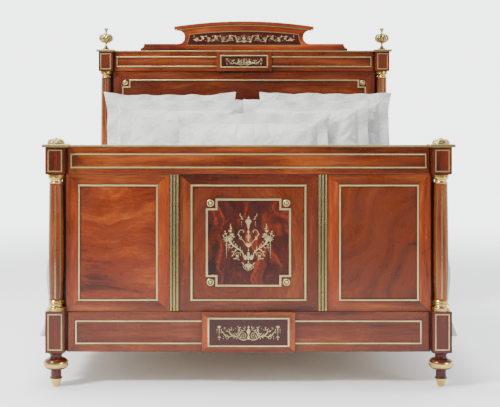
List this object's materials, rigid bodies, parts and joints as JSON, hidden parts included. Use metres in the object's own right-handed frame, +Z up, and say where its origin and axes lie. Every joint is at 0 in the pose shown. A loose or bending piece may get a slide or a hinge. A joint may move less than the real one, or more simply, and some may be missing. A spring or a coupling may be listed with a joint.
{
  "type": "panelled double bed",
  "caption": "Mahogany double bed with brass mounts, panelled footboard between fluted columns, taller headboard with bowed crest, mattress, coverlet and pillows.",
  "frame": {"origin": "on the floor, at the middle of the bed's box", "axes": "+X across the bed to the right as seen from the foot, +Y from the footboard to the headboard, +Z up"},
  "size_m": [1.746, 2.153, 1.617],
  "materials": {
    "mahogany": "french polished, figured",
    "dark_veneer": "french polished, dark purple brown",
    "brass": "polished, lightly worn",
    "steel": "plain",
    "pine": "sawn and planed",
    "ticking": "woven cotton ticking",
    "coverlet_linen": "pale grey green cloth",
    "pillow_linen": "washed pale grey linen"
  },
  "bodies": {
    "bedstead": {"block_stringing": "brass", "cap_bosses": "brass", "cap_plates": "brass", "capping_strips": "brass", "column_bases": "brass", "column_capitals": "brass", "column_foot_left": "mahogany", "column_foot_right": "mahogany", "column_head_left": "mahogany", "column_head_right": "mahogany", "corner_buttons": "brass", "crest_board": "mahogany", "crest_cornice": "mahogany", "crest_stringing": "brass", "finials": "brass", "flute_strips": "brass", "foot_bands": "brass", "foot_tips": "brass", "footboard_bottom_rail": "mahogany", "footboard_muntin_left": "mahogany", "footboard_muntin_right": "mahogany", "footboard_panel_centre": "mahogany", "footboard_panel_left": "mahogany", "footboard_panel_right": "mahogany", "footboard_stile_left": "mahogany", "footboard_stile_right": "mahogany", "footboard_tablet": "mahogany", "footboard_top_rail": "mahogany", "headboard_bottom_rail": "mahogany", "headboard_panel": "mahogany", "headboard_stiles": "mahogany", "headboard_tablet": "mahogany", "headboard_top_rail": "mahogany", "inlay_panels": "dark_veneer", "panel_mouldings": "brass", "pilasters": "brass", "post_base_foot_left": "mahogany", "post_base_foot_right": "mahogany", "post_base_head_left": "mahogany", "post_base_head_right": "mahogany", "rail_hook_plates": "steel", "rail_mouldings": "brass", "side_rail_left": "mahogany", "side_rail_right": "mahogany", "slat_ledgers": "pine", "slats": "pine", "sprung_base": "ticking", "stepped_mouldings": "brass", "tablet_frames": "brass", "top_block_foot_left": "mahogany", "top_block_foot_right": "mahogany", "top_block_head_left": "mahogany", "top_block_head_right": "mahogany"},
    "mattress": {"mattress": "ticking", "coverlet": "coverlet_linen"},
    "rear_pillows": {"pillow_rear_left": "pillow_linen", "pillow_rear_right": "pillow_linen"},
    "second_pillows": {"pillow_second_left": "pillow_linen", "pillow_second_right": "pillow_linen"},
    "front_pillow": {"pillow_front": "pillow_linen"}
  },
  "joints": [
    {"name": "mattress_lift", "type": "slide", "parent": "bedstead", "child": "mattress", "axis": [0, 0, 1], "range_m": [0, 0.66]},
    {"name": "rear_pillows_lift", "type": "slide", "parent": "mattress", "child": "rear_pillows", "axis": [0, -0.7071, 0.7071], "range_m": [0, 0.4]},
    {"name": "second_pillows_lift", "type": "slide", "parent": "rear_pillows", "child": "second_pillows", "axis": [0, -0.7071, 0.7071], "range_m": [0, 0.4]},
    {"name": "front_pillow_lift", "type": "slide", "parent": "second_pillows", "child": "front_pillow", "axis": [0, -0.7071, 0.7071], "range_m": [0, 0.4]}
  ]
}
